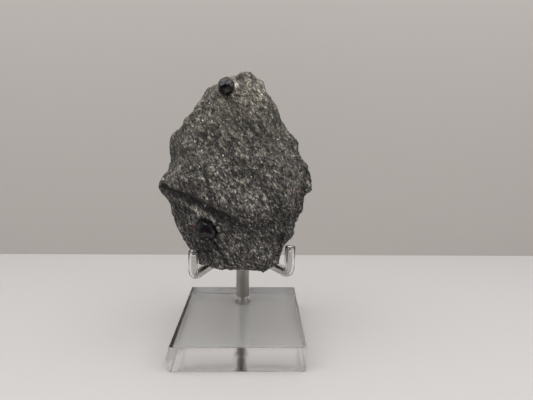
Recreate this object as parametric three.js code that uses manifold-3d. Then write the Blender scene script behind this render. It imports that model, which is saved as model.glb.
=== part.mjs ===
// Two dark garnet crystals in a lump of grey schist, standing in a small display stand: a clear
// block, a steel post, and two bent steel prongs in clear sleeves.
// Millimetres, +Z up. The viewer looks along +Y, so left is -X. The origin is the centre of the
// block's underside.

import * as THREE from "three";
import { ConvexGeometry } from "three/addons/geometries/ConvexGeometry.js";
import { ImprovedNoise } from "three/addons/math/ImprovedNoise.js";
import { mergeVertices } from "three/addons/utils/BufferGeometryUtils.js";
import Module from "manifold-3d";

// Driving dimensions

const GAP = 0.3; // air left between two pieces that meet

const BLOCK_SIDE = 50;
const BLOCK_HEIGHT = 10;
const BLOCK_RIDGE = 1.4; // the left side is ground to a ridge that stands out by this

const POST_Y = 17; // the post stands this far behind the middle of the block
const POST_DIAMETER = 6;
const POST_TOP = 62;
const POST_CHAMFER = 0.6;
const SEAT_DEPTH = 0.5; // the post sits this deep in the top of the block

const SCREW_DIAMETER = 4;
const SCREW_HEAD_DIAMETER = 7.5;
const SCREW_HEAD_HEIGHT = 2.2;
const SCREW_REACH = 17; // height of the screw's tip above the underside
const KEY_ACROSS_FLATS = 2.5;
const KEY_DEPTH = 1.4;

const ROD_DIAMETER = 2;
const SLEEVE_DIAMETER = 4;
const SLEEVE_BORE = 2.6;
const SLEEVE_START = 9; // length of bare rod between the post's axis and the sleeve
const BEND_RADIUS = 3;
const ROD_END_PAST_AXIS = 1.4; // a rod goes this far past the post's axis
const SLEEVE_OVERHANG = 1.4; // a sleeve goes this far past its rod's tip

// Where each prong leaves the post's axis, turns up, and ends.
const PRONGS = {
  left: { root: [0, POST_Y, 34.9], corner: [-17.4, -12, 32], tip: [-17.1, -12, 42] },
  right: { root: [0, POST_Y, 31.9], corner: [19.2, -9.5, 32], tip: [19.4, -9.5, 43] },
};

// The upper crystal stands out of the stone, and the lower one is half sunk in it.
// ring is the way the crystal's three front faces meet, spin turns it about that line.
const GARNETS = {
  upper: { centre: [-4.6, -7.6, 101.9], width: 5.8, ring: [0.2, -1, 0.08], spin: 0.82 },
  lower: { centre: [-12.3, -10.9, 50], width: 8.2, ring: [-0.24, -1, -0.03], spin: 0.6 },
};
const GARNET_BEVEL = 0.89; // 1 leaves the twelve faces' edges sharp

// The stone's outline from the front, clockwise from the top: x, z, and the depth y of its rim.
const STONE_MIDDLE = [-1, 70];
const OUTLINE = [
  [-0.5, 107, -2], [1, 107.5, -2], [4, 108, -2], [5, 107, -2], [6.8, 105, -2], [8.8, 103.7, -2],
  [9.6, 101.2, -2], [12.9, 96.2, -3], [16.9, 90.3, -3], [18.8, 87.2, -3], [22, 82, -4], [22.3, 78.5, -4],
  [23.5, 75.5, -5], [25.5, 73.5, -5], [27.4, 70, -6], [28, 64.5, -6], [25.5, 63, -5], [24.9, 60, -4],
  [24.1, 55, -3], [20, 45, -3], [17.5, 41, -4], [16, 38, -5], [14.3, 33, -6.5], [11.5, 34, -9],
  [9.5, 32.5, -9], [4, 33, -9], [-4, 32, -9], [-8, 33.5, -9], [-13, 35.2, -9], [-16, 34.2, -8],
  [-19.6, 38.5, -5], [-24.1, 45, -3], [-27.3, 54, -3], [-27.4, 59.5, -4], [-29.6, 63.4, -6], [-30.8, 66, -6],
  [-30, 68, -5], [-27.9, 70.5, -3], [-27.2, 78.5, 0], [-27.6, 82, 0], [-26.4, 84.7, 0], [-22.8, 86, -1],
  [-18.8, 90.3, -3], [-11.2, 102.3, -3], [-5.3, 104.8, -3], [-2.8, 106.3, -2],
];
const RIM_SQUARENESS = 2.8; // 2 rounds the stone from front to back like an egg, more is boxier
const STONE_DETAIL = 15; // each side of the sphere that the stone is shaped from is cut in this + 1

// The lip runs across the front, from the left corner down to the middle and up to the right one.
const LIP = [[-30, 66.5], [-24, 66], [-14, 64], [-8.5, 61.5], [1, 57], [6, 57], [12, 59], [22, 65]];
const LIP_Y = -17;
const FACE_LEAN = 0.22; // how fast the broad face above the lip falls back
const FACE_CROWN = 0.004; // and how much it bulges across
const UNDERCUT = 2.4; // how deep the stone is cut back under the lip
const UNDERCUT_HEIGHT = 6;
const LOWER_LEAN = 0.1;

// Flat breaks in the stone: one point of each, and how fast its depth y grows along x and z.
const FRONT_BREAKS = {
  rightStrip: { at: [14, -9.6, 84], slope: [0.6, 0.42] },
  rightHollow: { at: [15.5, -13, 50], slope: [1.5, -0.35] },
  leftSide: { at: [-20, -13.4, 54], slope: [-1.35, -0.45] },
  underCrystal: { at: [-8, -11.4, 40.5], slope: [-0.5, -0.3] },
  leftBump: { at: [-22.5, -9, 80], slope: [-1.7, 0.4] },
};
const BACK_BREAKS = {
  middle: { at: [0, 14.25, 50], slope: [0.02, -0.05] },
  top: { at: [2, 12.5, 72], slope: [0.08, -0.24] },
  right: { at: [12, 11.5, 60], slope: [-0.75, -0.1] },
  left: { at: [-13, 11.5, 66], slope: [0.6, 0.12] },
  rightFoot: { at: [10, 10, 44], slope: [-0.5, 0.9] },
  foot: { at: [0, -6, 33], slope: [0, 3.2] },
};

// Lumps on the stone: their size, and how far they stand out.
const LUMPS = [
  { size: 13, height: 1.2 },
  { size: 5.5, height: 0.8 },
  { size: 2.9, height: 0.5 },
];

const COLOURS = {
  acrylic: { color: 0xe4e4e1, roughness: 0.05, metalness: 0, transparent: true, opacity: 0.45 },
  vinyl: { color: 0xe8e4e0, roughness: 0.15, metalness: 0, transparent: true, opacity: 0.45 },
  steel: { color: 0x8c8781, roughness: 0.35, metalness: 1 },
  schist: { color: 0x54514d, roughness: 0.8, metalness: 0 },
  garnet: { color: 0x1e1a1d, roughness: 0.2, metalness: 0 },
};

// Solids

const wasm = await Module();
wasm.setup();

function solidOf(geometry) {
  const bare = geometry.clone();
  bare.deleteAttribute("normal");
  bare.deleteAttribute("uv");
  const merged = mergeVertices(bare, 1e-4);
  return new wasm.Manifold(
    new wasm.Mesh({
      numProp: 3,
      vertProperties: merged.attributes.position.array,
      triVerts: new Uint32Array(merged.index.array),
    }),
  );
}

function geometryOf(solid) {
  const { vertProperties, triVerts } = solid.getMesh();
  const geometry = new THREE.BufferGeometry();
  geometry.setAttribute("position", new THREE.BufferAttribute(vertProperties, 3));
  geometry.setIndex(new THREE.BufferAttribute(triVerts, 1));
  const flat = geometry.toNonIndexed();
  flat.computeVertexNormals();
  return flat;
}

function cut(geometry, ...tools) {
  return geometryOf(tools.reduce((solid, tool) => solid.subtract(solidOf(tool)), solidOf(geometry)));
}

function piece(name, geometry, finish) {
  const mesh = new THREE.Mesh(geometry, new THREE.MeshStandardMaterial(COLOURS[finish]));
  mesh.name = name;
  return mesh;
}

// A turned solid about the line x = 0, y = POST_Y. The profile is a list of [radius, z].
function turned(profile, sides) {
  const points = profile.map(([radius, z]) => new THREE.Vector2(radius, z));
  return new THREE.LatheGeometry(points, sides).rotateX(Math.PI / 2).translate(0, POST_Y, 0);
}

// The clear block, with the post's seat in its top and the screw's hole through it

function blockGeometry() {
  const half = BLOCK_SIDE / 2;
  const section = new THREE.Shape([
    new THREE.Vector2(-half, 0),
    new THREE.Vector2(half, 0),
    new THREE.Vector2(half, BLOCK_HEIGHT),
    new THREE.Vector2(-half, BLOCK_HEIGHT),
    new THREE.Vector2(-half - BLOCK_RIDGE, BLOCK_HEIGHT / 2),
  ]);
  const block = new THREE.ExtrudeGeometry(section, { depth: BLOCK_SIDE, bevelEnabled: false })
    .rotateX(Math.PI / 2)
    .translate(0, half, 0);
  const hole = SCREW_DIAMETER / 2 + GAP;
  const sink = SCREW_HEAD_DIAMETER / 2 + GAP;
  const seat = POST_DIAMETER / 2 + GAP;
  const seatBottom = BLOCK_HEIGHT - SEAT_DEPTH;
  const countersink = turned(
    [
      [0, -1],
      [sink, -1],
      [sink, GAP],
      [hole, GAP + SCREW_HEAD_HEIGHT],
      [hole, seatBottom],
      [seat, seatBottom],
      [seat, BLOCK_HEIGHT + 1],
      [0, BLOCK_HEIGHT + 1],
    ],
    32,
  );
  return cut(block, countersink);
}

function screwGeometry() {
  const shank = SCREW_DIAMETER / 2;
  const bottom = 2 * GAP;
  const screw = turned(
    [
      [0, bottom],
      [SCREW_HEAD_DIAMETER / 2, bottom],
      [shank, bottom + SCREW_HEAD_HEIGHT],
      [shank, SCREW_REACH - 0.5],
      [shank - 0.5, SCREW_REACH],
      [0, SCREW_REACH],
    ],
    24,
  );
  const key = KEY_ACROSS_FLATS / Math.sqrt(3);
  const socket = turned([[0, 0], [key, 0], [key, bottom + KEY_DEPTH], [0, bottom + KEY_DEPTH]], 6);
  return cut(screw, socket);
}

// The post, bored for the screw below and for each prong

function postGeometry() {
  const radius = POST_DIAMETER / 2;
  const bottom = BLOCK_HEIGHT - SEAT_DEPTH;
  const post = turned(
    [
      [0, bottom],
      [radius, bottom],
      [radius, POST_TOP - POST_CHAMFER],
      [radius - POST_CHAMFER, POST_TOP],
      [0, POST_TOP],
    ],
    32,
  );
  const bore = SCREW_DIAMETER / 2 + GAP;
  const boreTop = SCREW_REACH + 1;
  const screwHole = turned([[0, 0], [bore, 0], [bore, boreTop], [0, boreTop]], 24);
  return cut(post, screwHole, prongHole(PRONGS.left), prongHole(PRONGS.right));
}

function unit(from, to) {
  return new THREE.Vector3().subVectors(to, from).normalize();
}

function prongHole({ root, corner }) {
  const axis = new THREE.Vector3(...root);
  const along = unit(axis, new THREE.Vector3(...corner));
  const start = axis.clone().addScaledVector(along, -ROD_END_PAST_AXIS - GAP);
  const end = axis.clone().addScaledVector(along, POST_DIAMETER);
  const circle = new THREE.Shape().absarc(0, 0, ROD_DIAMETER / 2 + GAP, 0, 2 * Math.PI);
  const path = new THREE.LineCurve3(start, end);
  return new THREE.ExtrudeGeometry(circle, { steps: 1, curveSegments: 8, extrudePath: path });
}

// A prong: straight out of the post, round a bend, and straight up. The steps along it are spent
// mostly on the bend.

class ProngPath extends THREE.Curve {
  constructor(start, corner, end) {
    super();
    const bendStart = corner.clone().addScaledVector(unit(corner, start), BEND_RADIUS);
    const bendEnd = corner.clone().addScaledVector(unit(corner, end), BEND_RADIUS);
    this.stretches = [
      new THREE.LineCurve3(start, bendStart),
      new THREE.QuadraticBezierCurve3(bendStart, corner, bendEnd),
      new THREE.LineCurve3(bendEnd, end),
    ];
    this.ends = [0, 0.2, 0.8, 1];
  }

  getPoint(t, target = new THREE.Vector3()) {
    const i = t < this.ends[1] ? 0 : t < this.ends[2] ? 1 : 2;
    const share = (t - this.ends[i]) / (this.ends[i + 1] - this.ends[i]);
    return this.stretches[i].getPoint(share, target);
  }

  getUtoTmapping(u) {
    return u;
  }
}

// A bar or tube along part of a prong, which starts and ends past its root and tip by these lengths
function prongSweep({ root, corner, tip }, startPast, endPast, diameter, bore) {
  const [rootPoint, cornerPoint, tipPoint] = [root, corner, tip].map((p) => new THREE.Vector3(...p));
  const start = rootPoint.clone().addScaledVector(unit(rootPoint, cornerPoint), startPast);
  const end = tipPoint.clone().addScaledVector(unit(cornerPoint, tipPoint), endPast);
  const section = new THREE.Shape().absarc(0, 0, diameter / 2, 0, 2 * Math.PI);
  if (bore) section.holes.push(new THREE.Path().absarc(0, 0, bore / 2, 0, 2 * Math.PI, true));
  const path = new ProngPath(start, cornerPoint, end);
  return new THREE.ExtrudeGeometry(section, { steps: 10, curveSegments: 8, extrudePath: path });
}

function rodGeometry(prong) {
  return prongSweep(prong, -ROD_END_PAST_AXIS, -SLEEVE_OVERHANG, ROD_DIAMETER);
}

function sleeveGeometry(prong) {
  return prongSweep(prong, SLEEVE_START, 0, SLEEVE_DIAMETER, SLEEVE_BORE);
}

// A garnet crystal: twelve rhombic faces, with their edges cut by twenty-four narrow ones

function signed(points) {
  const signs = [-1, 1];
  return points.flatMap(([x, y, z]) =>
    signs.flatMap((a) => signs.flatMap((b) => signs.map((c) => new THREE.Vector3(a * x, b * y, c * z)))),
  );
}

function garnetGeometry({ centre, width, ring, spin }, grow = 0) {
  const face = width / 2 + grow;
  const reach = face * Math.SQRT2;
  const rhombic = signed([[reach, 0, 0], [0, reach, 0], [0, 0, reach], [reach / 2, reach / 2, reach / 2]]);
  const edge = 2 * reach * GARNET_BEVEL;
  const [a, b, c] = [edge / 2, edge / 4, edge / 3];
  const narrow = signed([[a, 0, 0], [0, a, 0], [0, 0, a], [b, b, b], [c, c, 0], [c, 0, c], [0, c, c]]);
  const crystal = solidOf(new ConvexGeometry(rhombic)).intersect(solidOf(new ConvexGeometry(narrow)));
  const threefold = new THREE.Vector3(1, 1, 1).normalize();
  const front = new THREE.Vector3(...ring).normalize();
  const turn = new THREE.Quaternion().setFromUnitVectors(threefold, front);
  const roll = new THREE.Quaternion().setFromAxisAngle(front, spin);
  return geometryOf(crystal)
    .applyQuaternion(turn)
    .applyQuaternion(roll)
    .translate(...centre);
}

// The stone: a fine sphere, pushed out to the outline from the front, and to the broken faces
// from front to back, then roughened

function cross(a, b) {
  return a[0] * b[1] - a[1] * b[0];
}

// How far the rim is from the stone's middle in a direction, and how deep it lies there
function rimTowards(direction) {
  for (let i = 0; i < OUTLINE.length; i++) {
    const [a, b] = [OUTLINE[i], OUTLINE[(i + 1) % OUTLINE.length]];
    const start = [a[0] - STONE_MIDDLE[0], a[1] - STONE_MIDDLE[1]];
    const edge = [b[0] - a[0], b[1] - a[1]];
    const reach = cross(start, edge) / cross(direction, edge);
    const share = cross(start, direction) / cross(direction, edge);
    if (reach > 0 && share >= 0 && share <= 1) return { reach, y: a[2] + share * (b[2] - a[2]) };
  }
  throw new Error("the outline has a gap");
}

function lipHeight(x) {
  const i = Math.max(1, LIP.findIndex((point) => point[0] > x));
  const [a, b] = x > LIP.at(-1)[0] ? LIP.slice(-2) : [LIP[i - 1], LIP[i]];
  return a[1] + ((x - a[0]) * (b[1] - a[1])) / (b[0] - a[0]);
}

function breakDepth({ at, slope }, x, z) {
  return at[1] + slope[0] * (x - at[0]) + slope[1] * (z - at[2]);
}

function frontDepth(x, z) {
  const above = z - lipHeight(x);
  const below = Math.max(0, -above);
  const under = UNDERCUT * THREE.MathUtils.smoothstep(below, 0, UNDERCUT_HEIGHT) + LOWER_LEAN * below;
  const face = LIP_Y + FACE_CROWN * x * x + FACE_LEAN * Math.max(0, above) + under;
  return Math.max(face, ...Object.values(FRONT_BREAKS).map((plane) => breakDepth(plane, x, z)));
}

function backDepth(x, z) {
  return Math.min(...Object.values(BACK_BREAKS).map((plane) => breakDepth(plane, x, z)));
}

function shapeStone(direction) {
  const across = Math.hypot(direction.x, direction.z);
  const towards = across > 1e-6 ? [direction.x / across, direction.z / across] : [1, 0];
  const rim = rimTowards(towards);
  const x = STONE_MIDDLE[0] + rim.reach * across * towards[0];
  const z = STONE_MIDDLE[1] + rim.reach * across * towards[1];
  const share = (1 - Math.min(1, across) ** RIM_SQUARENESS) ** (1 / RIM_SQUARENESS);
  const surface = direction.y < 0 ? Math.min(rim.y, frontDepth(x, z)) : Math.max(rim.y, backDepth(x, z));
  return new THREE.Vector3(x, rim.y + share * (surface - rim.y), z);
}

function stoneGeometry() {
  const sphere = new THREE.IcosahedronGeometry(1, STONE_DETAIL);
  sphere.deleteAttribute("normal");
  sphere.deleteAttribute("uv");
  const stone = mergeVertices(sphere, 1e-4);
  const position = stone.attributes.position;
  const point = new THREE.Vector3();
  for (let i = 0; i < position.count; i++) {
    point.fromBufferAttribute(position, i).normalize();
    position.setXYZ(i, ...shapeStone(point));
  }
  stone.computeVertexNormals();
  const noise = new ImprovedNoise();
  const normal = new THREE.Vector3();
  for (let i = 0; i < position.count; i++) {
    point.fromBufferAttribute(position, i);
    normal.fromBufferAttribute(stone.attributes.normal, i);
    let raised = 0;
    for (const { size, height } of LUMPS) {
      raised += height * noise.noise(point.x / size, point.y / size, point.z / size);
    }
    position.setXYZ(i, ...point.addScaledVector(normal, raised));
  }
  const pockets = Object.values(GARNETS).map((garnet) => garnetGeometry(garnet, GAP));
  return cut(stone, ...pockets);
}

const specimen = new THREE.Group();
specimen.add(
  piece("base", blockGeometry(), "acrylic"),
  piece("base_screw", screwGeometry(), "steel"),
  piece("post", postGeometry(), "steel"),
  piece("matrix", stoneGeometry(), "schist"),
);
for (const [side, prong] of Object.entries(PRONGS)) {
  specimen.add(piece(`arm_${side}`, rodGeometry(prong), "steel"));
  specimen.add(piece(`sleeve_${side}`, sleeveGeometry(prong), "vinyl"));
}
for (const [place, garnet] of Object.entries(GARNETS)) {
  specimen.add(piece(`garnet_${place}`, garnetGeometry(garnet), "garnet"));
}

export default specimen;
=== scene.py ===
"""Looks for a lump of dark schist with two garnet crystals, standing in a small display stand.

A clear block carries a steel post, and two bent steel rods in clear sleeves hold the stone.
Lengths are written in millimetres and become metres when a mesh is made. +Z is up, and the
viewer looks along +Y.
"""

import math

import bmesh
import bpy
import numpy as np
from mathutils import Matrix, Vector, noise
from mathutils.bvhtree import BVHTree


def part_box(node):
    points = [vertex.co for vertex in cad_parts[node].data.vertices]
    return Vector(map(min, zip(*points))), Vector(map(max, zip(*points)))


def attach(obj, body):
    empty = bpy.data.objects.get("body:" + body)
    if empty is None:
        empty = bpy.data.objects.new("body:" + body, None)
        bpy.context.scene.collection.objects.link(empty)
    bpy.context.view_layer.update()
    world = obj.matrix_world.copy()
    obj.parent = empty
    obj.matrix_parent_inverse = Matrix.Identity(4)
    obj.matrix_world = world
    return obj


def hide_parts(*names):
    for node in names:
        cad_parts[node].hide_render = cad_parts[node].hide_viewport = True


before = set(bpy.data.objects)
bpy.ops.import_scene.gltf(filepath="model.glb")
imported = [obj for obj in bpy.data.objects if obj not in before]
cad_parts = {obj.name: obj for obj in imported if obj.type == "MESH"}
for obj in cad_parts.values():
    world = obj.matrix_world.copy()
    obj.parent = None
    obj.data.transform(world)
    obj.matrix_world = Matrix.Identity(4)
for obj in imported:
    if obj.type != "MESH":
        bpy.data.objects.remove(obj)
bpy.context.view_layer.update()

MM = 0.001
BODY = "root"

# The camera stands where the photograph was taken from.
PHOTO_WIDTH = 533
FOCAL_LENGTH = 381.3  # in the photograph's pixels
SENSOR_WIDTH = 36
CAMERA_PLACE = (7.085, -148.3, 91.6)
CAMERA_YAW = 1.235  # degrees to the right
CAMERA_PITCH = 12.35  # degrees down
CAMERA_ROLL = 0.64

# The stand, as the solids have it
POST_Y = 17
POST_DIAMETER = 6
POST_CHAMFER = 0.6
BLOCK_BEVEL = 0.14
BLOCK_RIDGE = 1.4
# The places of the acrylic's finishes in the block's materials
POLISHED = 0
SAWN = 1
GROUND = 2
GAP = 0.3
SEAT_DEPTH = 0.5
SCREW_DIAMETER = 4
SCREW_HEAD_DIAMETER = 7.5
SCREW_HEAD_HEIGHT = 2.2
KEY_ACROSS_FLATS = 2.5
KEY_DEPTH = 1.4
THREAD_PITCH = 0.7
THREAD_DEPTH = 0.35
THREAD_FLANK = 1.6  # how steep the sides of the thread are
THREAD_STEPS = 8  # rings of vertices to one turn
THREAD_RUN_IN = 6  # rings over which the thread starts
SCREW_HEAD_RIM = 0.1
SCREW_TIP_LENGTH = 0.4
SCREW_TIP_BEVEL = 0.6
POST_BORE_DEPTH = 8.5
END_BEVEL = 0.15
CUTTER_EXCESS = 1  # how far a cutter stands out of what it cuts

ROD_DIAMETER = 2
SLEEVE_DIAMETER = 4
SLEEVE_BORE = 2.2
SLEEVE_START = 9
BEND_RADIUS = 3
BEND_STEPS = 20
ROD_END_PAST_AXIS = 1.4
ROD_HOLE_CLEARANCE = 0.12
SLEEVE_OVERHANG = 1.4
SLEEVE_LIP = 0.22
SLEEVE_EDGE = 0.07
PRONGS = {
    "left": ((0, POST_Y, 34.9), (-17.4, -12, 32), (-17.1, -12, 42)),
    "right": ((0, POST_Y, 31.9), (19.2, -9.5, 32), (19.4, -9.5, 43)),
}

ACRYLIC_IOR = 1.49
VINYL_IOR = 1.53
GARNET_IOR = 1.8
GARNET_EDGE = 0.06  # how far the crystals' edges are worn round

# The stone's relief: each octave's size and height
STONE_VOXEL = 0.354
STONE_SMOOTHING = 6
STONE_LUMPS = ((4.6, 0.42), (2.3, 0.30), (1.25, 0.2))
GRAIN_SIZE = 0.95
GRAIN_HEIGHT = 0.22
GRAIN_STEP = 0.9  # how much grains differ in height, as a share of GRAIN_HEIGHT
GRAIN_GROOVE = 0.6  # how deep the grooves between them are, as a share of it
GRAIN_GROOVE_WIDTH = 0.25
GRAIN_SEED = 31.7
FINEST_SIZE = 0.55
FINEST_HEIGHT = 0.12
COARSE_CELL = 0.75
FINE_CELL = 0.42
GLINT_CELL = 0.5
FRONT_NORMAL = 0.2  # the front is where the normal's y is below this
GRAIN_SLANT = 1.0
FOLIATION = Vector((0.5, 0.1, -0.86)).normalized()  # the way the mica lies
FOLIATION_STRETCH = 3.2

# Between these heights the stone's colour goes from cool to warm, and its grains get fainter.
STONE_LOW = 35
STONE_HIGH = 108

# The stone is drawn in to a crystal over this reach, and stops this far from it.
CRYSTAL_REACH = 1.1
CRYSTAL_CLEARANCE = 0.06

# Grooves in the stone's front: a line of (x, z), how far each reaches from it, and its depth.
# They are a crack in the lower front, the fold under the lip's left half, and two hollows low on
# the right.
GROOVES = (
    (((-9.7, 45.9), (-7.9, 42), (-6.5, 38.8), (-3.5, 35.6)), 0.8, 0.9),
    (((-28.5, 64.9), (-24, 63.7), (-18.5, 62), (-14, 59.8), (-8.6, 57.3), (-2, 55)), 2, 1.3),
    (((14, 57.5), (17.8, 53.4), (17.2, 50.5)), 1.8, 1.2),
    (((16.4, 47.5), (15.2, 43.5)), 1.6, 1.0),
)

# Knobs, most of them on the outline: place, radius and height. The widest one is the mound
# round the upper crystal.
KNOBS = (
    ((-0.9, -6, 104.2), 1.5, 1.0),
    ((-4.6, -5, 101.4), 4.8, 1.5),
    ((-1.2, -8.2, 102.2), 1.1, 0.7),
    ((-2.2, -3, 105), 1.6, 0.9),
    ((0.6, -2.5, 106.2), 1.8, 0.9),
)

# Painted light and shade on the stone's front: a line of (x, z), how far the patch reaches from it, and
# how much the colour is multiplied there. Painted light makes the top paler, and two small patches above
# the lower crystal. Painted shade darkens the bump high on the left, the band and the fold under the lip,
# the hollow low on the right, the stone below the lower crystal, and the left face.
PAINTED_SHADE_AND_LIGHT = (
    (((-2, 99), (2, 99.5), (5, 99)), 10, 2.0),
    (((-22.6, 83.2), (-21.3, 79.8), (-23.5, 78)), 4.5, 0.65),
    (((-19.5, 61.8), (-14.2, 58.8), (-8.7, 57.4), (-2.6, 53.6), (5.9, 51.4), (15.1, 53.7)), 3.4, 0.5),
    (((-28.5, 65), (-24, 63.7), (-18.5, 62), (-14, 59.8), (-8.6, 57.3)), 3, 0.3),
    (((19.5, 54), (17.5, 46.8), (15, 42.1)), 6.5, 0.4),
    (((-10.5, 43.5), (-12.4, 40), (-11.7, 37.5)), 5, 0.4),
    (((-25.5, 58), (-21, 49), (-17, 40)), 6, 0.42),
    (((-16.8, 58.6), (-15, 56.8), (-13, 56.2)), 2, 4),
    (((-11.3, 56.4), (-9, 53.4)), 0.75, 3.6),
)
# Grains of another colour: the middle (x, z) of each and its radius
RED_GRAINS = (((23.6, 64.3), 0.9), ((-17.8, 51.4), 1.0), ((-18, 50), 1.0))
PALE_GRAINS = (((-1.3, 102.2), 1.2), ((4, 52.9), 0.45), ((8.1, 99.4), 0.45))


def make_camera():
    data = bpy.data.cameras.new("photo_camera")
    data.sensor_width = SENSOR_WIDTH
    data.lens = SENSOR_WIDTH * FOCAL_LENGTH / PHOTO_WIDTH
    data.clip_start = 0.005
    camera = bpy.data.objects.new("photo_camera", data)
    bpy.context.scene.collection.objects.link(camera)
    turn = Matrix.Rotation(math.radians(-CAMERA_YAW), 4, "Z")
    tilt = Matrix.Rotation(math.radians(90 - CAMERA_PITCH), 4, "X")
    roll = Matrix.Rotation(math.radians(CAMERA_ROLL), 4, "Z")
    camera.matrix_world = Matrix.Translation(Vector(CAMERA_PLACE) * MM) @ turn @ tilt @ roll
    bpy.context.scene.camera = camera


# Node materials


def new_material(name):
    material = bpy.data.materials.new(name)
    material.use_nodes = True
    return material, material.node_tree, material.node_tree.nodes["Principled BSDF"]


def feed(tree, socket, value):
    """Sets a socket to a value, or links it where the value is another node's output."""
    if isinstance(value, bpy.types.NodeSocket):
        tree.links.new(value, socket)
    else:
        socket.default_value = value


def add_node(tree, kind, inputs=None, **settings):
    node = tree.nodes.new("ShaderNode" + kind)
    for key, value in settings.items():
        setattr(node, key, value)
    for key, value in (inputs or {}).items():
        feed(tree, node.inputs[key], value)
    return node


def maths(tree, operation, a, b):
    return add_node(tree, "Math", {0: a, 1: b}, operation=operation).outputs[0]


def vector_maths(tree, operation, inputs):
    return add_node(tree, "VectorMath", inputs, operation=operation).outputs[0]


def mix(tree, factor, a, b, blend="MIX"):
    node = add_node(tree, "Mix", {0: factor, 6: a, 7: b}, data_type="RGBA", blend_type=blend)
    return node.outputs[2]


def ramp(tree, factor, stops):
    """A colour ramp. Each stop is a place and a colour or grey."""
    node = add_node(tree, "ValToRGB", {"Fac": factor})
    elements = node.color_ramp.elements
    while len(elements) < len(stops):
        elements.new(1.0)
    for element, (place, colour) in zip(elements, stops):
        element.position = place
        grey = not isinstance(colour, tuple)
        element.color = (colour, colour, colour, 1) if grey else (*colour, 1)
    return node.outputs["Color"]


def millimetres(tree):
    """The piece's own coordinates in millimetres."""
    place = add_node(tree, "TexCoord").outputs["Object"]
    return vector_maths(tree, "SCALE", {0: place, 3: 1 / MM})


def noise_texture(tree, place, size, detail=3.0):
    inputs = {"Vector": place, "Scale": 1 / size, "Detail": detail}
    return add_node(tree, "TexNoise", inputs).outputs["Fac"]


def smooth_step(tree, value, low, high):
    """0 below low, 1 above high, and smooth between the two."""
    inputs = {"Value": value, "From Min": low, "From Max": high}
    return add_node(tree, "MapRange", inputs, interpolation_type="SMOOTHSTEP").outputs["Result"]


def attribute(tree, name):
    return add_node(tree, "Attribute", attribute_name=name).outputs["Fac"]


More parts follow.
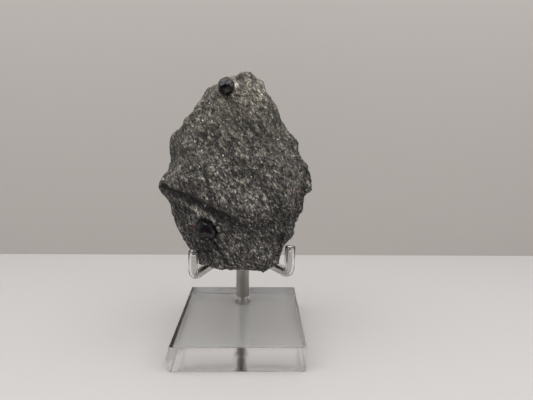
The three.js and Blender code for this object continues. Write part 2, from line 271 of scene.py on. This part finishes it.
def schist_material():
    """Packed grains of black mica, grey quartz and buff feldspar, with a painted glint here and there."""
    material, tree, shader = new_material("schist")
    place = millimetres(tree)
    angle = math.atan2(-FOLIATION.z, FOLIATION.x)
    along = add_node(
        tree,
        "Mapping",
        {"Vector": place, "Rotation": (0, angle, 0), "Scale": (2.0, 1, 1)},
        vector_type="TEXTURE",
    ).outputs[0]
    coarse = add_node(tree, "TexVoronoi", {"Vector": along, "Scale": 1 / COARSE_CELL})
    fine = add_node(tree, "TexVoronoi", {"Vector": along, "Scale": 1 / FINE_CELL})
    coarse_value = add_node(tree, "SeparateColor", {0: coarse.outputs["Color"]}).outputs[0]
    fine_value = add_node(tree, "SeparateColor", {0: fine.outputs["Color"]}).outputs[1]
    coarse_colour = ramp(
        tree,
        coarse_value,
        (
            (0.0, (0.012, 0.011, 0.012)),
            (0.40, (0.040, 0.037, 0.035)),
            (0.66, (0.115, 0.106, 0.093)),
            (0.86, (0.25, 0.23, 0.19)),
            (1.0, (0.45, 0.41, 0.33)),
        ),
    )
    fine_colour = ramp(
        tree,
        fine_value,
        (
            (0.0, (0.010, 0.009, 0.010)),
            (0.5, (0.055, 0.052, 0.048)),
            (0.8, (0.19, 0.178, 0.155)),
            (1.0, (0.50, 0.47, 0.40)),
        ),
    )
    grains = mix(tree, 0.5, coarse_colour, fine_colour)
    bright = smooth_step(tree, fine_value, 0.7, 0.9)
    height = add_node(tree, "SeparateXYZ", {0: place}).outputs["Z"]
    rise = add_node(tree, "MapRange", {0: height, 1: STONE_LOW, 2: STONE_HIGH}).outputs[0]
    # High up the grains are fainter.
    faint = ramp(tree, rise, ((0.45, 0.0), (0.75, 0.3), (0.95, 0.42)))
    grains = mix(tree, faint, grains, (0.105, 0.098, 0.085, 1))
    # Low down the pale grains are paler.
    low = maths(tree, "MULTIPLY", bright, ramp(tree, rise, ((0.1, 0.7), (0.55, 0.0))))
    grains = mix(tree, low, grains, mix(tree, 1.0, grains, (2.0, 1.95, 1.9, 1), "MULTIPLY"))
    warmth = ramp(tree, rise, ((0.2, (0.98, 0.98, 1.03)), (0.8, (1.08, 1.03, 0.94))))
    grains = mix(tree, 1.0, grains, warmth, "MULTIPLY")
    mottle = ramp(tree, noise_texture(tree, place, 6.5), ((0.3, 0.78), (0.7, 1.2)))
    grains = mix(tree, 1.0, grains, mottle, "MULTIPLY")
    # Painted shade in the stone's grooves and hollows, and painted light where it stands out
    painted_relief_shading = ramp(tree, attribute(tree, "painted_relief_shading"), ((0.15, 0.45), (0.5, 0.95), (0.9, 1.35)))
    grains = mix(tree, 1.0, grains, painted_relief_shading, "MULTIPLY")
    # The pale grains take a little less of the patches' painted light and shade, so they stay a little
    # paler in the painted shade.
    painted_shade_and_light = mix(tree, maths(tree, "MULTIPLY", bright, 0.3), attribute(tree, "painted_shade_and_light"), (1, 1, 1, 1))
    with_painted_shade = vector_maths(tree, "SCALE", {0: grains, 3: painted_shade_and_light})
    coloured = mix(tree, attribute(tree, "red"), with_painted_shade, (0.14, 0.03, 0.04, 1))
    coloured = mix(tree, attribute(tree, "pale"), coloured, (0.85, 0.74, 0.70, 1))
    # Painted glints: a few cells get a pale base colour, which stands in for light caught by mica
    glint_cells = add_node(tree, "TexVoronoi", {"Vector": place, "Scale": 1 / GLINT_CELL})
    glint_value = add_node(tree, "SeparateColor", {0: glint_cells.outputs["Color"]}).outputs[2]
    glint = ramp(tree, glint_value, ((0.996, 0.0), (0.999, 1.0)))
    colour = mix(tree, glint, coloured, (0.75, 0.74, 0.72, 1))
    feed(tree, shader.inputs["Base Color"], colour)
    dullness = ramp(tree, fine_value, ((0.0, 0.8), (0.7, 0.6), (1.0, 0.38)))
    feed(tree, shader.inputs["Roughness"], dullness)
    bumps = maths(tree, "ADD", fine.outputs["Distance"], noise_texture(tree, place, 0.35))
    bump = add_node(tree, "Bump", {"Height": bumps, "Strength": 0.6, "Distance": 0.12 * MM})
    # Every grain is broken at its own slant.
    middle = (0.5, 0.5, 0.5)
    slant = vector_maths(tree, "SUBTRACT", {0: fine.outputs["Color"], 1: middle})
    slant = vector_maths(tree, "SCALE", {0: slant, 3: GRAIN_SLANT})
    normal = vector_maths(tree, "ADD", {0: bump.outputs["Normal"], 1: slant})
    normal = vector_maths(tree, "NORMALIZE", {0: normal})
    feed(tree, shader.inputs["Normal"], normal)
    return material


def garnet_material():
    material, tree, shader = new_material("garnet")
    place = millimetres(tree)
    clouds = noise_texture(tree, place, 1.4)
    body = ramp(tree, clouds, ((0.35, (0.003, 0.002, 0.003)), (0.7, (0.010, 0.006, 0.008))))
    feed(tree, shader.inputs["Base Color"], body)
    wear = noise_texture(tree, place, 0.8)
    feed(tree, shader.inputs["Roughness"], ramp(tree, wear, ((0.35, 0.14), (0.7, 0.34))))
    feed(tree, shader.inputs["IOR"], GARNET_IOR)
    feed(tree, shader.inputs["Specular IOR Level"], ramp(tree, clouds, ((0.4, 0.36), (0.62, 0.1))))
    feed(tree, shader.inputs["Specular Tint"], (1, 0.98, 0.95, 1))
    steps = noise_texture(tree, place, 0.7)
    bump = add_node(tree, "Bump", {"Height": steps, "Strength": 0.6, "Distance": 0.1 * MM})
    feed(tree, shader.inputs["Normal"], bump.outputs["Normal"])
    return material


def clear_material(name, ior, tint, roughness):
    """A clear plastic with a more or less dull skin."""
    material, tree, shader = new_material(name)
    place = millimetres(tree)
    feed(tree, shader.inputs["Base Color"], tint)
    feed(tree, shader.inputs["Transmission Weight"], 1.0)
    feed(tree, shader.inputs["IOR"], ior)
    worn = noise_texture(tree, place, 3.5)
    feed(tree, shader.inputs["Roughness"], ramp(tree, worn, ((0.45, roughness[0]), (0.75, roughness[1]))))
    return material


def ground_material():
    """Acrylic where it was drilled or broken and left unpolished: light comes through it scattered."""
    material, tree, shader = new_material("ground_acrylic")
    grain = noise_texture(tree, millimetres(tree), 0.25)
    feed(tree, shader.inputs["Base Color"], (0.97, 0.97, 0.97, 1))
    feed(tree, shader.inputs["Transmission Weight"], 1.0)
    feed(tree, shader.inputs["IOR"], ACRYLIC_IOR)
    feed(tree, shader.inputs["Roughness"], ramp(tree, grain, ((0.3, 0.45), (0.7, 0.7))))
    return material


def steel_material(name, colour, roughness, lines):
    """Turned or drawn steel. lines is how close its fine marks lie along x, y and z, per mm."""
    material, tree, shader = new_material(name)
    place = millimetres(tree)
    stretched = add_node(tree, "Mapping", {"Vector": place, "Scale": lines}).outputs[0]
    grain = noise_texture(tree, stretched, 1.0, detail=4.0)
    shade = ramp(tree, grain, ((0.3, tuple(0.85 * c for c in colour)), (0.7, colour)))
    feed(tree, shader.inputs["Base Color"], shade)
    feed(tree, shader.inputs["Metallic"], 1.0)
    feed(tree, shader.inputs["Roughness"], ramp(tree, grain, ((0.3, roughness[0]), (0.7, roughness[1]))))
    bump = add_node(tree, "Bump", {"Height": grain, "Strength": 0.2, "Distance": 0.02 * MM})
    feed(tree, shader.inputs["Normal"], bump.outputs["Normal"])
    return material


# Meshes


def finish_piece(name, mesh, material, slot, *nodes, sharp=None):
    """Turns a mesh in millimetres into a piece that stands for some of the frame's nodes.

    Where material is None, the mesh keeps the materials that its faces already have. Edges
    sharper than sharp degrees aren't shaded smooth.
    """
    mesh.transform(Matrix.Scale(MM, 4))
    if material:
        mesh.materials.clear()
        mesh.materials.append(material)
    mesh.polygons.foreach_set("use_smooth", [True] * len(mesh.polygons))
    if sharp:
        mesh.set_sharp_from_angle(angle=math.radians(sharp))
    piece = bpy.data.objects.new(name, mesh)
    bpy.context.scene.collection.objects.link(piece)
    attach(piece, BODY)
    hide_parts(*nodes)
    return piece


def mesh_of(build):
    """The mesh that build makes of a bmesh."""
    made = bmesh.new()
    build(made)
    bmesh.ops.recalc_face_normals(made, faces=made.faces)
    mesh = bpy.data.meshes.new("made")
    made.to_mesh(mesh)
    made.free()
    return mesh


def applied(mesh, *modifiers):
    """The mesh with modifiers applied, each given as its kind and its settings."""
    holder = bpy.data.objects.new("holder", mesh)
    bpy.context.scene.collection.objects.link(holder)
    for kind, settings in modifiers:
        modifier = holder.modifiers.new(kind, kind)
        for key, value in settings.items():
            setattr(modifier, key, value)
    seen = holder.evaluated_get(bpy.context.evaluated_depsgraph_get())
    result = bpy.data.meshes.new_from_object(seen)
    bpy.data.objects.remove(holder)
    return result


def without(mesh, cutter_mesh):
    cutter = bpy.data.objects.new("cutter", cutter_mesh)
    bpy.context.scene.collection.objects.link(cutter)
    result = applied(mesh, ("BOOLEAN", {"operation": "DIFFERENCE", "solver": "EXACT", "object": cutter}))
    bpy.data.objects.remove(cutter)
    return result


def skin_rings(made, rings, closed):
    """Joins rings of vertices one to the next. Where it isn't closed, the ends are filled."""
    sides = len(rings[0])
    pairs = list(zip(rings, rings[1:]))
    if closed:
        pairs.append((rings[-1], rings[0]))
    for lower, upper in pairs:
        for i in range(sides):
            j = (i + 1) % sides
            made.faces.new((lower[i], lower[j], upper[j], upper[i]))
    if not closed:
        made.faces.new(rings[0])
        made.faces.new(rings[-1])


def turned(profile, sides):
    """A turned mesh about the post's axis. The profile is a list of (radius, z)."""

    def build(made):
        rings = []
        for radius, z in profile:
            angles = [2 * math.pi * i / sides for i in range(sides)]
            places = [(radius * math.cos(a), POST_Y + radius * math.sin(a), z) for a in angles]
            rings.append([made.verts.new(point) for point in places])
        skin_rings(made, rings, False)

    return mesh_of(build)


def make_block(clear, sawn, ground):
    low, high = (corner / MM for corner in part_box("base"))
    section = (
        (high.x, low.z),
        (high.x, high.z),
        (low.x + BLOCK_RIDGE, high.z),
        (low.x, (low.z + high.z) / 2),
        (low.x + BLOCK_RIDGE, low.z),
    )

    def build(made):
        ends = [[made.verts.new((x, y, z)) for x, z in section] for y in (low.y, high.y)]
        skin_rings(made, ends, False)
        bevelled = bmesh.ops.bevel(
            made, geom=made.edges, offset=BLOCK_BEVEL, segments=1, profile=0.5, affect="EDGES"
        )
        made.normal_update()
        for face in made.faces:
            face.material_index = POLISHED if abs(face.normal.z) > 0.99 else SAWN
        for face in bevelled["faces"]:
            face.material_index = GROUND

    def drilled(profile, finish):
        bore = turned(profile, sides=96)
        for material in (clear, sawn, ground):
            bore.materials.append(material)
        bore.polygons.foreach_set("material_index", [finish] * len(bore.polygons))
        return bore

    block = mesh_of(build)
    for material in (clear, sawn, ground):
        block.materials.append(material)
    # The screw's own hole isn't cut, so its mesh overlaps the block's. Only the recess below
    # its head and the post's seat are cut.
    recess = SCREW_HEAD_DIAMETER / 2
    block = without(block, drilled([(recess, low.z - CUTTER_EXCESS), (recess, low.z + GAP)], GROUND))
    seat = POST_DIAMETER / 2 + GAP
    hole = [(seat, high.z - SEAT_DEPTH), (seat, high.z + CUTTER_EXCESS)]
    block = without(block, drilled(hole, POLISHED))
    finish_piece("clear_block", block, None, "acrylic", "base", sharp=5)


def make_screw(material):
    low, high = (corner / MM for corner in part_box("base_screw"))
    sides = 32
    head = SCREW_HEAD_DIAMETER / 2
    shank = SCREW_DIAMETER / 2
    neck = low.z + SCREW_HEAD_HEIGHT

    def build(made):
        angles = [2 * math.pi * i / sides for i in range(sides)]
        levels = [(head - END_BEVEL, low.z), (head, low.z + SCREW_HEAD_RIM), (shank, neck)]
        step = THREAD_PITCH / THREAD_STEPS
        count = int((high.z - SCREW_TIP_LENGTH - neck) / step)
        rings = [
            [made.verts.new((r * math.cos(a), POST_Y + r * math.sin(a), z)) for a in angles]
            for r, z in levels
        ]
        for k in range(1, count):
            z = neck + k * step
            ring = []
            for i, a in enumerate(angles):
                phase = (z / THREAD_PITCH - i / sides) % 1
                depth = THREAD_DEPTH * min(1, THREAD_FLANK * abs(2 * phase - 1))
                r = shank - depth * min(1, k / THREAD_RUN_IN)
                ring.append(made.verts.new((r * math.cos(a), POST_Y + r * math.sin(a), z)))
            rings.append(ring)
        tip = shank - SCREW_TIP_BEVEL
        places = [(tip * math.cos(a), POST_Y + tip * math.sin(a), high.z) for a in angles]
        rings.append([made.verts.new(point) for point in places])
        skin_rings(made, rings, False)

    key = KEY_ACROSS_FLATS / math.sqrt(3)
    socket = turned(((key, low.z - CUTTER_EXCESS), (key, low.z + KEY_DEPTH)), sides=6)
    finish_piece("screw", without(mesh_of(build), socket), material, "steel", "base_screw", sharp=35)


def make_post(material):
    low, high = (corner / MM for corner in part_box("post"))
    radius = POST_DIAMETER / 2
    post = turned(
        (
            (radius - END_BEVEL, low.z),
            (radius, low.z + END_BEVEL),
            (radius, high.z - POST_CHAMFER),
            (radius - POST_CHAMFER, high.z),
        ),
        sides=96,
    )
    bore = SCREW_DIAMETER / 2 + GAP
    drill = turned(((bore, low.z - CUTTER_EXCESS), (bore, low.z + POST_BORE_DEPTH)), sides=48)
    post = without(post, drill)
    for prong in PRONGS.values():
        root, corner = Vector(prong[0]), Vector(prong[1])
        along = (corner - root).normalized()
        line = [root - along * (ROD_END_PAST_AXIS + GAP), root + along * POST_DIAMETER]
        hole = ROD_DIAMETER / 2 + ROD_HOLE_CLEARANCE
        post = without(post, tube(line, [(0, hole)], [(0, hole)], Vector((0, 0, 1))))
    finish_piece("steel_post", post, material, "steel", "post", sharp=30)


def prong_line(prong, start_past, end_past):
    """The middle line of a prong: straight, round its bend, and straight up."""
    root, corner, tip = (Vector(point) for point in prong)
    along = (corner - root).normalized()
    up = (tip - corner).normalized()
    bend_start = corner - along * BEND_RADIUS
    bend_end = corner + up * BEND_RADIUS
    line = [root + along * start_past]
    for i in range(BEND_STEPS + 1):
        t = i / BEND_STEPS
        line.append(bend_start * (1 - t) ** 2 + corner * (2 * t * (1 - t)) + bend_end * t**2)
    line.append(tip + up * end_past)
    return line


def tube(line, start, end, across, sides=40, inner=None):
    """A tube along a line, whose directions all lie square to across.

    start and end are lists of (how far in from the end, radius), from the outside in. With an
    inner radius the tube is hollow, and its bore runs from one end to the other.
    """
    tangents = []
    for i in range(len(line)):
        before, after = line[max(0, i - 1)], line[min(len(line) - 1, i + 1)]
        tangents.append((after - before).normalized())
    stations = [(line[0] + tangents[0] * d, tangents[0], r) for d, r in start]
    outer = start[-1][1]
    stations += [(point, tangent, outer) for point, tangent in list(zip(line, tangents))[1:-1]]
    stations += [(line[-1] - tangents[-1] * d, tangents[-1], r) for d, r in reversed(end)]
    if inner:
        back = [(point, tangent, inner) for point, tangent in zip(line, tangents)]
        stations += list(reversed(back))

    def build(made):
        rings = []
        for point, tangent, radius in stations:
            side = across.cross(tangent).normalized()
            other = tangent.cross(side)
            ring = []
            for i in range(sides):
                a = 2 * math.pi * i / sides
                ring.append(made.verts.new(point + (side * math.cos(a) + other * math.sin(a)) * radius))
            rings.append(ring)
        skin_rings(made, rings, bool(inner))

    return mesh_of(build)


def make_prong(side, prong, steel, vinyl):
    root, corner, tip = (Vector(point) for point in prong)
    across = (corner - root).cross(tip - corner).normalized()
    rod = ROD_DIAMETER / 2
    rod_end = [(0, rod - END_BEVEL), (END_BEVEL, rod)]
    line = prong_line(prong, -ROD_END_PAST_AXIS, -SLEEVE_OVERHANG)
    mesh = tube(line, rod_end, rod_end, across)
    finish_piece(f"rod_{side}", mesh, steel, "rod", f"arm_{side}", sharp=35)
    outer, inner = SLEEVE_DIAMETER / 2, SLEEVE_BORE / 2
    sleeve_end = [
        (0, inner + SLEEVE_LIP),
        (0, outer - SLEEVE_LIP),
        (SLEEVE_EDGE, outer - SLEEVE_EDGE),
        (SLEEVE_LIP, outer),
    ]
    line = prong_line(prong, SLEEVE_START, 0)
    mesh = tube(line, sleeve_end, sleeve_end, across, sides=64, inner=inner)
    finish_piece(f"clear_sleeve_{side}", mesh, vinyl, "vinyl", f"sleeve_{side}", sharp=50)


def cad_mesh(node):
    """A copy of a node's mesh in millimetres, with its corners joined up."""
    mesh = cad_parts[node].data.copy()
    mesh.transform(Matrix.Scale(1 / MM, 4))
    made = bmesh.new()
    made.from_mesh(mesh)
    bmesh.ops.remove_doubles(made, verts=made.verts, dist=0.001)
    made.to_mesh(mesh)
    made.free()
    return mesh


def make_garnet(place, material):
    mesh = cad_mesh(f"garnet_{place}")
    made = bmesh.new()
    made.from_mesh(mesh)
    bmesh.ops.dissolve_limit(made, angle_limit=math.radians(1), verts=made.verts, edges=made.edges)
    bmesh.ops.bevel(
        made, geom=made.edges, offset=GARNET_EDGE, segments=2, profile=0.5, affect="EDGES"
    )
    made.to_mesh(mesh)
    made.free()
    finish_piece(f"garnet_crystal_{place}", mesh, material, "garnet", f"garnet_{place}", sharp=12)


def line_distance(x, z, line):
    """How far (x, z) is from a line of points."""
    best = 1e9
    for (ax, az), (bx, bz) in zip(line, line[1:]):
        ex, ez = bx - ax, bz - az
        share = ((x - ax) * ex + (z - az) * ez) / (ex * ex + ez * ez)
        share = min(1, max(0, share))
        best = min(best, math.hypot(x - ax - share * ex, z - az - share * ez))
    return best


def fading(distance, reach):
    """1 in the middle of a patch, 0 at its reach, and smooth between the two."""
    share = max(0, 1 - distance / reach)
    return share * share * (3 - 2 * share)


def stretched(point):
    """A point squeezed along the foliation, so that noise read there comes out in streaks."""
    along = point.dot(FOLIATION)
    return point - FOLIATION * (along * (1 - 1 / FOLIATION_STRETCH))


def polygons_of(mesh):
    return [vertex.co for vertex in mesh.vertices], [tuple(polygon.vertices) for polygon in mesh.polygons]


def held_by(crystals, point):
    """Draws a point of the stone in to a crystal that is close to it."""
    for crystal in crystals:
        nearest, normal, _, distance = crystal.find_nearest(point, CRYSTAL_REACH)
        if nearest is not None:
            outside = (point - nearest).dot(normal) > 0
            share = fading(distance, CRYSTAL_REACH) if outside else 1
            return point.lerp(nearest + normal * CRYSTAL_CLEARANCE, share)
    return point


def make_stone(material):
    crystals = [cad_mesh(f"garnet_{place}") for place in ("upper", "lower")]
    crystals = [BVHTree.FromPolygons(*polygons_of(crystal)) for crystal in crystals]
    mesh = applied(
        cad_mesh("matrix"),
        ("REMESH", {"mode": "VOXEL", "voxel_size": STONE_VOXEL, "adaptivity": 0}),
        ("SMOOTH", {"factor": 0.5, "iterations": STONE_SMOOTHING}),
    )
    count = len(mesh.vertices)
    painted_relief_shading = np.zeros(count, np.float32)
    painted_shade_and_light = np.ones(count, np.float32)
    red = np.zeros(count, np.float32)
    pale = np.zeros(count, np.float32)
    moved = np.zeros((count, 3), np.float32)
    normals = [vertex.normal.copy() for vertex in mesh.vertices]
    for i, vertex in enumerate(mesh.vertices):
        point = vertex.co.copy()
        normal = normals[i]
        streaked = stretched(point)
        height = 0.0
        for size, amount in STONE_LUMPS:
            height += amount * noise.noise(streaked / size)
        distances, places = noise.voronoi(streaked / GRAIN_SIZE)
        edge = min(1, (distances[1] - distances[0]) / GRAIN_GROOVE_WIDTH)
        grain = noise.cell(places[0] * GRAIN_SEED)
        fine = GRAIN_HEIGHT * (GRAIN_STEP * (grain - 0.5) + GRAIN_GROOVE * (edge - 0.6))
        fine += FINEST_HEIGHT * noise.noise(point / FINEST_SIZE)
        if normal.y < FRONT_NORMAL:
            x, z = point.x, point.z
            for line, reach, depth in GROOVES:
                fine -= depth * max(0, 1 - line_distance(x, z, line) / reach)
            # Painted light and shade on patches of the front
            for line, reach, painted_factor in PAINTED_SHADE_AND_LIGHT:
                painted_shade_and_light[i] *= 1 + (painted_factor - 1) * fading(line_distance(x, z, line), reach)
            red[i] = max(fading(math.dist((x, z), middle), radius) for middle, radius in RED_GRAINS)
            pale[i] = max(fading(math.dist((x, z), middle), radius) for middle, radius in PALE_GRAINS)
        for centre, radius, amount in KNOBS:
            near = (point - Vector(centre)).length / radius
            if near < 1:
                height += amount * (1 - near * near)
        # Painted shade and light: the material makes the stone darker where this is low, in its grooves
        # and hollows and between grains, and lighter where it stands out.
        painted_relief_shading[i] = 0.5 + 1.6 * fine + 0.4 * height
        moved[i] = held_by(crystals, point + normal * (height + fine))
    mesh.vertices.foreach_set("co", moved.ravel())
    mesh.update()
    for name, values in (("painted_relief_shading", painted_relief_shading), ("painted_shade_and_light", painted_shade_and_light), ("red", red), ("pale", pale)):
        mesh.attributes.new(name, "FLOAT", "POINT").data.foreach_set("value", values)
    print("stone triangles", sum(len(p.vertices) - 2 for p in mesh.polygons))
    finish_piece("schist_stone", mesh, material, "schist", "matrix")


# The stage: a plain pale floor, a plain backdrop, and soft light from above

FLOOR_SIZE = 3000
FLOOR_FRONT = 260  # how far the floor reaches towards the viewer
FLOOR_Z = -0.03
FLOOR_COLOUR = (0.465, 0.45, 0.442, 1)
WALL_Y = 96
WALL_HEIGHT = 1200
WALL_COLOUR = (0.51, 0.48, 0.45, 1)
CEILING_HEIGHT = 380
CEILING_SIZE = (1100, 640)
CEILING_POWER = 5.5
# The light from all round is weak from behind the viewer and stronger from the sides.
WORLD_FRONT = (0.03, 0.031, 0.033, 1)
WORLD_SIDES = (0.75, 0.75, 0.75, 1)


def plain_quad(name, corners, material):
    mesh = bpy.data.meshes.new(name)
    mesh.from_pydata([Vector(corner) * MM for corner in corners], [], [range(4)])
    mesh.materials.append(material)
    quad = bpy.data.objects.new(name, mesh)
    bpy.context.scene.collection.objects.link(quad)


def make_stage():
    floor, tree, shader = new_material("floor")
    feed(tree, shader.inputs["Base Color"], FLOOR_COLOUR)
    feed(tree, shader.inputs["Roughness"], 0.6)
    half = FLOOR_SIZE / 2
    ends = (-FLOOR_FRONT, half)
    corners = [(x, ends[0], FLOOR_Z) for x in (-half, half)]
    corners += [(x, ends[1], FLOOR_Z) for x in (half, -half)]
    plain_quad("floor", corners, floor)

    wall, tree, shader = new_material("wall")
    feed(tree, shader.inputs["Base Color"], WALL_COLOUR)
    feed(tree, shader.inputs["Roughness"], 0.7)
    # The wall has one side, so that it doesn't hide the stand from behind.
    behind = add_node(tree, "NewGeometry").outputs["Backfacing"]
    unseen = add_node(tree, "BsdfTransparent")
    both = add_node(tree, "MixShader", {0: behind, 1: shader.outputs[0], 2: unseen.outputs[0]})
    feed(tree, tree.nodes["Material Output"].inputs["Surface"], both.outputs[0])
    corners = [(x, WALL_Y, FLOOR_Z) for x in (-half, half)]
    corners += [(x, WALL_Y, WALL_HEIGHT) for x in (half, -half)]
    plain_quad("wall", corners, wall)

    world = bpy.data.worlds.new("studio")
    bpy.context.scene.world = world
    world.use_nodes = True
    tree = world.node_tree
    towards = add_node(tree, "TexCoord").outputs["Generated"]
    forward = add_node(tree, "SeparateXYZ", {0: towards}).outputs["Y"]
    share = add_node(tree, "MapRange", {0: forward, 1: -0.9, 2: 0.0}).outputs[0]
    background = tree.nodes["Background"]
    feed(tree, background.inputs["Color"], mix(tree, share, WORLD_FRONT, WORLD_SIDES))

    # The target is a little off the place's upright line, so that the lamp's turn is settled.
    place = (0, 0, CEILING_HEIGHT)
    add_area_light("ceiling", place, (0, -0.001, 0), CEILING_SIZE, CEILING_POWER)


def add_area_light(name, place, target, size, power):
    data = bpy.data.lights.new(name, "AREA")
    data.shape = "RECTANGLE"
    data.size, data.size_y = (side * MM for side in size)
    data.energy = power
    lamp = bpy.data.objects.new(name, data)
    bpy.context.scene.collection.objects.link(lamp)
    lamp.location = Vector(place) * MM
    lamp.rotation_euler = (Vector(target) - Vector(place)).to_track_quat("-Z", "Y").to_euler()


make_camera()
make_stage()
bpy.context.scene.view_settings.view_transform = "Standard"

acrylic = clear_material("acrylic", ACRYLIC_IOR, (0.995, 1, 0.998, 1), (0.05, 0.1))
sawn = clear_material("sawn_acrylic", ACRYLIC_IOR, (0.97, 0.96, 0.965, 1), (0.16, 0.19))
ground = ground_material()
vinyl = clear_material("vinyl", VINYL_IOR, (0.98, 0.975, 0.97, 1), (0.1, 0.16))
steel = steel_material("steel", (0.42, 0.395, 0.365), (0.3, 0.42), (0.4, 0.4, 9))
rod_steel = steel_material("rod_steel", (0.62, 0.60, 0.57), (0.18, 0.28), (2, 2, 2))
garnet = garnet_material()

make_block(acrylic, sawn, ground)
make_screw(steel)
make_post(steel)
for side, prong in PRONGS.items():
    make_prong(side, prong, rod_steel, vinyl)
for place in ("upper", "lower"):
    make_garnet(place, garnet)
make_stone(schist_material())
